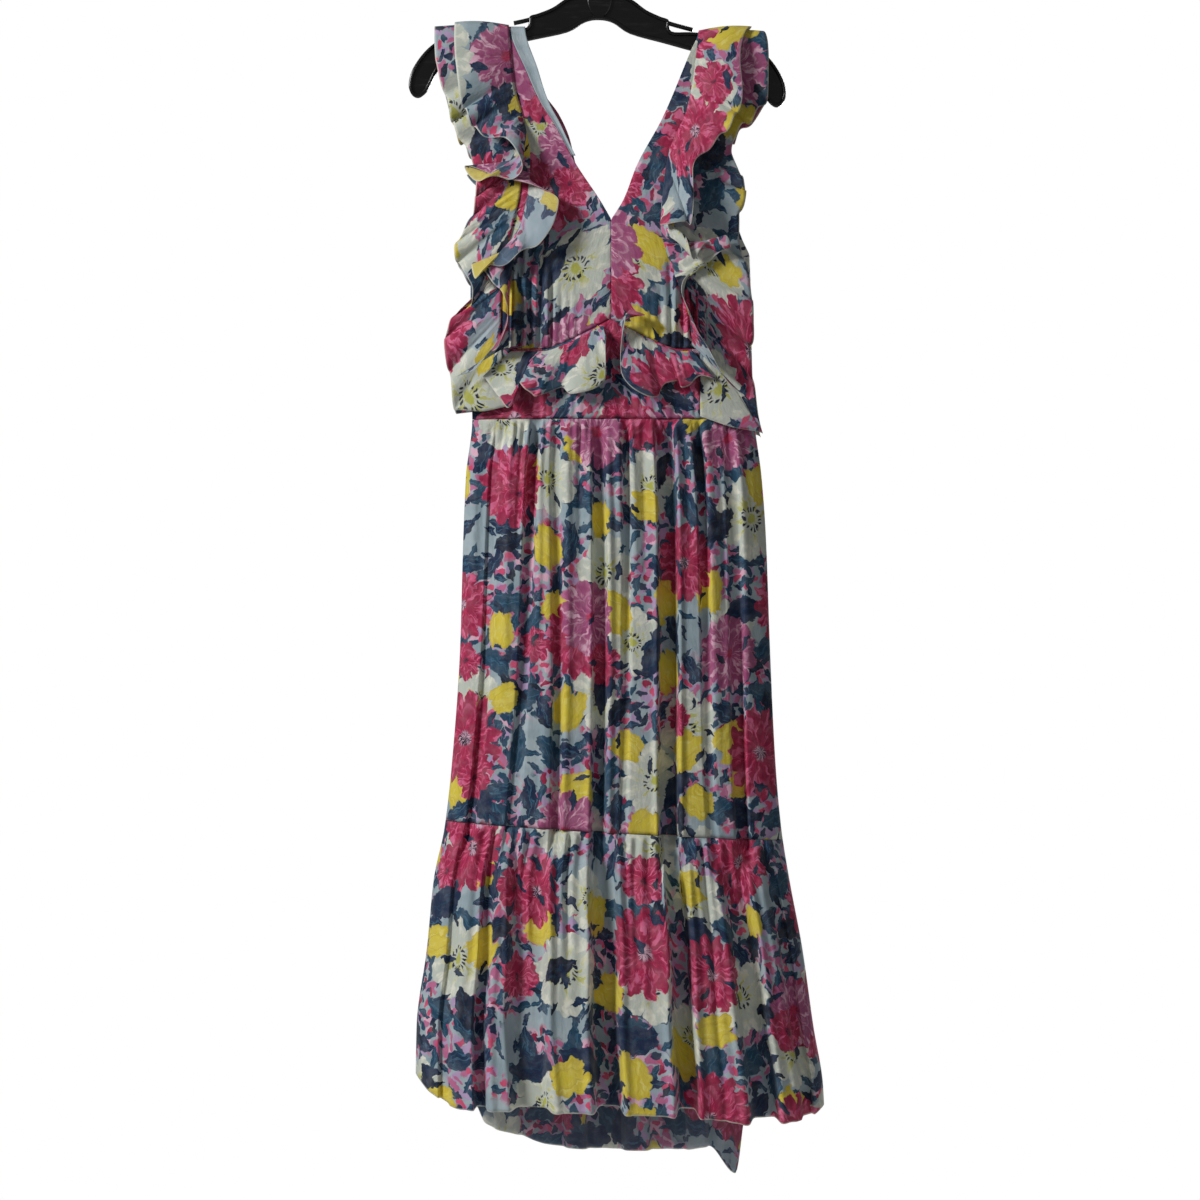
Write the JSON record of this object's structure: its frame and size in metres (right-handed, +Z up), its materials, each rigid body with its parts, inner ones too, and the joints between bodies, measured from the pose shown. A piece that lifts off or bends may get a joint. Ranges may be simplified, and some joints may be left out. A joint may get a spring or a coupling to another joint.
{
  "type": "maxi dress on a hanger",
  "caption": "Sleeveless floral maxi dress with a V neck, ruffled straps, waist ruffle and gathered lower tier, hanging on a moulded hanger.",
  "frame": {"origin": "the inside of the top of the hook, where it rests on what holds it", "axes": "+Z up, the front of the dress towards -Y, +X to the viewer's right"},
  "size_m": [0.478, 0.1593, 1.4669],
  "materials": {
    "printed_cloth": "light woven cloth with an all-over floral print",
    "lining_cloth": "plain pale lining",
    "hanger_plastic": "black, half gloss",
    "hook_steel": "plain wire"
  },
  "bodies": {
    "root": {"bodice_front_left": "printed_cloth", "bodice_front_right": "printed_cloth", "bodice_back_left": "printed_cloth", "bodice_back_right": "printed_cloth", "waistband_front": "printed_cloth", "waistband_back": "printed_cloth", "skirt_front": "printed_cloth", "skirt_back": "printed_cloth", "tier_front": "printed_cloth", "tier_back": "printed_cloth", "ruffle_inner_left": "printed_cloth", "ruffle_inner_right": "printed_cloth", "ruffle_outer_left": "printed_cloth", "ruffle_outer_right": "printed_cloth", "ruffle_waist_front_left": "printed_cloth", "ruffle_waist_front_right": "printed_cloth", "ruffle_waist_back": "printed_cloth", "neck_lining_left": "lining_cloth", "hanger_body": "hanger_plastic", "hanger_hook": "hook_steel"}
  },
  "joints": []
}
